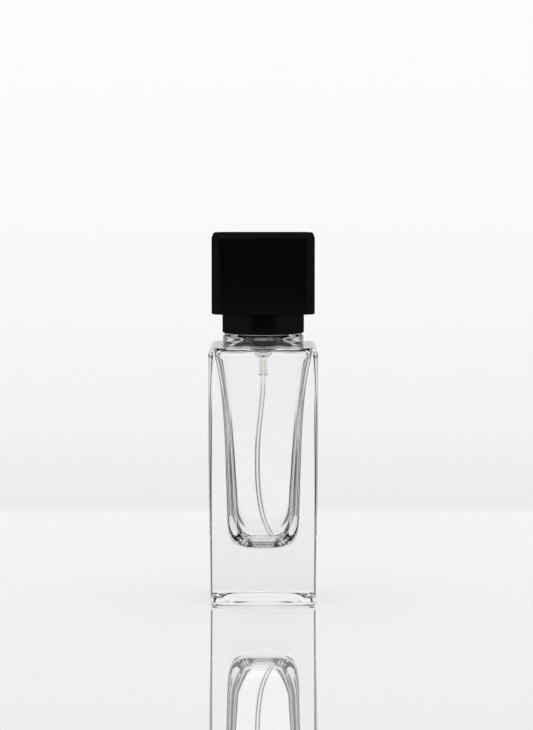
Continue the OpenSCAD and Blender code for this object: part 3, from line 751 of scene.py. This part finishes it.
# light, by direction
FLAG_DEPTH = 0.97            # how dark the flags are
FLAG_FRONT = (9, 14)         # where a flag starts, in degrees from the front or back view
FLAG_SIDE = (6, 9)           # and from a side view
FLAG_GAP = (0.52, 0.44)      # |x y| of a level direction, between which flags fade out towards the diagonals
FLAG_LOW = (-0.21, -0.17)    # sine of the height angle where a flag starts
FLAG_HIGH = (0.5, 0.38)      # and where it ends
OVERHEAD = (0.2, 0.6)        # sine of the height angle over which what glass shows gets darker
OVERHEAD_THROUGH = 0.75
BEHIND_DEPTH = 0.95          # how dark the camera's side is
BEHIND_SIDE = (-0.75, -0.9)
BEHIND_LOW = (-0.3, -0.2)
BEHIND_HIGH = (0.22, 0.18)
LIT_SIDE = (-0.95, 0.1)      # matt surfaces get little light from the camera's side
LIT_LEAST = 0.12
CAVITY_DEPTHS = (2, 4)       # faces of glass passed, through one wall and through both
CAVITY_GAIN = 1.07


def white_acrylic(back):
    """A strong mirror over white, its back edge lost softly against the backdrop."""
    made = material("white_table", Base_Color=(0.95, 0.955, 0.955, 1), Roughness=0.015, Metallic=TABLE_MIRROR,
                    Specular_IOR_Level=0.0)
    where = add_node(made, "ShaderNodeTexCoord")
    split = add_node(made, "ShaderNodeSeparateXYZ")
    link(made, where, "Object", split, "Vector")
    fade = add_node(made, "ShaderNodeMapRange")
    fade.interpolation_type = "SMOOTHSTEP"
    fade.inputs["From Min"].default_value = back
    fade.inputs["From Max"].default_value = back - TABLE_FADE
    link(made, split, "Y", fade, "Value")
    link(made, fade, "Result", shader_of(made), "Alpha")
    return made


def make_table():
    """A sheet of white acrylic under the bottle, wider than the front view."""
    low, back = -TABLE_GAP, TABLE_BACK + TABLE_FADE / 2
    corners = [(-TABLE_SIDE, -TABLE_FRONT, low), (TABLE_SIDE, -TABLE_FRONT, low),
               (TABLE_SIDE, back, low), (-TABLE_SIDE, back, low)]
    mesh = bpy.data.meshes.new("table")
    mesh.from_pydata(corners, [], [(0, 1, 2, 3)])
    table = bpy.data.objects.new("table", mesh)
    bpy.context.scene.collection.objects.link(table)
    table.data.materials.append(white_acrylic(back))


def calc(tree, operation, *values):
    """One maths node on numbers or node outputs. Returns its output."""
    node = tree.nodes.new("ShaderNodeMath")
    node.operation = operation
    for socket, value in zip(node.inputs, values):
        if isinstance(value, (int, float)):
            socket.default_value = value
        else:
            tree.links.new(value, socket)
    return node.outputs["Value"]


def product(tree, first, *others):
    """The product of several node outputs."""
    for other in others:
        first = calc(tree, "MULTIPLY", first, other)
    return first


def step(tree, value, start, end, low=0.0, high=1.0):
    """A smooth step of a node output from low at start to high at end."""
    node = tree.nodes.new("ShaderNodeMapRange")
    node.interpolation_type = "SMOOTHSTEP"
    for socket, number in zip(("From Min", "From Max", "To Min", "To Max"), (start, end, low, high)):
        node.inputs[socket].default_value = number
    tree.links.new(value, node.inputs["Value"])
    return node.outputs["Result"]


def choose(tree, switch, there, otherwise):
    """One value where the switch is 1, the other where it is 0."""
    node = tree.nodes.new("ShaderNodeMix")
    tree.links.new(switch, node.inputs["Factor"])
    tree.links.new(there, node.inputs["B"])
    if isinstance(otherwise, float):
        node.inputs["A"].default_value = otherwise
    else:
        tree.links.new(otherwise, node.inputs["A"])
    return node.outputs["Result"]


# (sine of the height angle, brightness of the backdrop)
BACKDROP = [(-0.2, 0.83), (-0.136, 0.835), (-0.117, 0.875), (-0.067, 0.935), (-0.033, 0.955), (0.034, 0.975),
            (0.13, 0.9), (0.21, 0.84), (0.4, 1.0), (1.0, 1.3)]


def make_world():
    """A white studio. It shows pale on every side, and black flags beside each face's view edge the glass."""
    world = bpy.data.worlds.new("studio")
    bpy.context.scene.world = world
    world.use_nodes = True
    tree = world.node_tree
    tree.nodes.clear()
    where = tree.nodes.new("ShaderNodeTexCoord")
    split = tree.nodes.new("ShaderNodeSeparateXYZ")
    tree.links.new(where.outputs["Generated"], split.inputs["Vector"])
    x, y, z = (split.outputs[axis] for axis in "XYZ")
    ramp = tree.nodes.new("ShaderNodeValToRGB")
    elements = ramp.color_ramp.elements
    while len(elements) < len(BACKDROP):
        elements.new(0.5)
    lowest, highest = BACKDROP[0][0], BACKDROP[-1][0]
    for element, (height, level) in zip(elements, BACKDROP):
        element.position = (height - lowest) / (highest - lowest)
        element.color = (level, level, level, 1)
    share = calc(tree, "DIVIDE", calc(tree, "SUBTRACT", z, lowest), highest - lowest)
    tree.links.new(share, ramp.inputs["Fac"])

    # flags: from beside the front and back views to beside the side views, only near the horizon
    flat = calc(tree, "SQRT", calc(tree, "ADD", calc(tree, "MULTIPLY", x, x), calc(tree, "MULTIPLY", y, y)))
    off_front = calc(tree, "DIVIDE", calc(tree, "ABSOLUTE", x), flat)
    off_side = calc(tree, "DIVIDE", calc(tree, "ABSOLUTE", y), flat)
    across = calc(tree, "MULTIPLY", off_front, off_side)
    flag = product(tree, step(tree, off_front, *(math.sin(math.radians(a)) for a in FLAG_FRONT)),
                   step(tree, off_side, *(math.sin(math.radians(a)) for a in FLAG_SIDE)),
                   step(tree, across, *FLAG_GAP), step(tree, z, *FLAG_LOW), step(tree, z, *FLAG_HIGH))
    through = calc(tree, "SUBTRACT", 1.0, calc(tree, "MULTIPLY", flag, FLAG_DEPTH))
    through = calc(tree, "MULTIPLY", through, step(tree, z, *OVERHEAD, 1.0, OVERHEAD_THROUGH))
    # the camera's side is dark in what the glass and the table mirror
    behind = product(tree, step(tree, y, *BEHIND_SIDE), step(tree, z, *BEHIND_HIGH),
                     step(tree, z, *BEHIND_LOW))
    mirrored = calc(tree, "SUBTRACT", 1.0, calc(tree, "MULTIPLY", behind, BEHIND_DEPTH))
    # light for matt surfaces comes from the back, the sides and above
    lit = step(tree, y, *LIT_SIDE, LIT_LEAST, 1.0)

    path = tree.nodes.new("ShaderNodeLightPath")
    strength = choose(tree, path.outputs["Is Glossy Ray"], mirrored, 1.0)
    strength = choose(tree, path.outputs["Is Diffuse Ray"], lit, strength)
    inside = calc(tree, "GREATER_THAN", path.outputs["Transmission Depth"], 0.5)
    # two walls of glass lose light to mirrored faces, which a dark camera side doesn't give back
    gain = step(tree, path.outputs["Transmission Depth"], *CAVITY_DEPTHS, 1.0, CAVITY_GAIN)
    through = calc(tree, "MULTIPLY", through, gain)
    strength = choose(tree, inside, through, strength)
    light = tree.nodes.new("ShaderNodeBackground")
    tree.links.new(ramp.outputs["Color"], light.inputs["Color"])
    tree.links.new(strength, light.inputs["Strength"])
    out = tree.nodes.new("ShaderNodeOutputWorld")
    tree.links.new(light.outputs["Background"], out.inputs["Surface"])


# ---------------------------------------------------------------- assembly
make_camera()
make_world()
make_table()

glass = make_glass()
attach(glass, "bottle")
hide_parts("glass_bottle")

collar = make_collar()
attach(collar, "bottle")
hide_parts("shoulder_collar")

cap = make_cap()
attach(cap, "cap_shell")
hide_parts("cap_shell")

tube = make_dip_tube()
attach(tube, "bottle")
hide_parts("dip_tube")

housing = make_housing()
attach(housing, "bottle")
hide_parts("pump_housing")

ferrule = make_ferrule()
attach(ferrule, "bottle")
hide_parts("crimp_ferrule")

spring_steel = drawn_metal("spring_steel", (0.62, 0.63, 0.65), rough=0.22, stretch=(1, 1, 4))
return_spring = make_coil("return_coil", "return_spring", 0.2 * MM, 7, spring_steel)
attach(return_spring, "bottle")
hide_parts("return_spring")
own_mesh(return_spring)

priming_spring = make_coil("priming_coil", "priming_spring", 0.11 * MM, 3, spring_steel)
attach(priming_spring, "stem")
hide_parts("priming_spring")
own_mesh(priming_spring)

sleeve = make_sleeve()
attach(sleeve, "actuator")
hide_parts("actuator_sleeve")

natural = moulded("natural_plastic", (0.86, 0.86, 0.83), rough=0.42)
dress(moulded("gasket_plastic", (0.84, 0.84, 0.8), rough=0.5), "neck_gasket")
dress(natural, "turret", "upper_stem", "lower_stem")
dress(rubber(), "stem_seal")
dress(moulded("piston_plastic", (0.74, 0.77, 0.82), rough=0.4), "piston")
dress(drawn_metal("ball_steel", (0.66, 0.67, 0.69), rough=0.12, stretch=EVEN), "inlet_ball")
dress(moulded("actuator_plastic", (0.78, 0.78, 0.77), rough=0.45), "actuator_core")
dress(moulded("insert_plastic", (0.9, 0.9, 0.89), rough=0.35), "nozzle_insert")
dress(satin_black("liner_plastic", level=0.02, sheen=0.03, rough=(0.35, 0.45)), "cap_liner")

scene = bpy.context.scene
scene.view_settings.view_transform = "Standard"
scene.view_settings.look = "None"
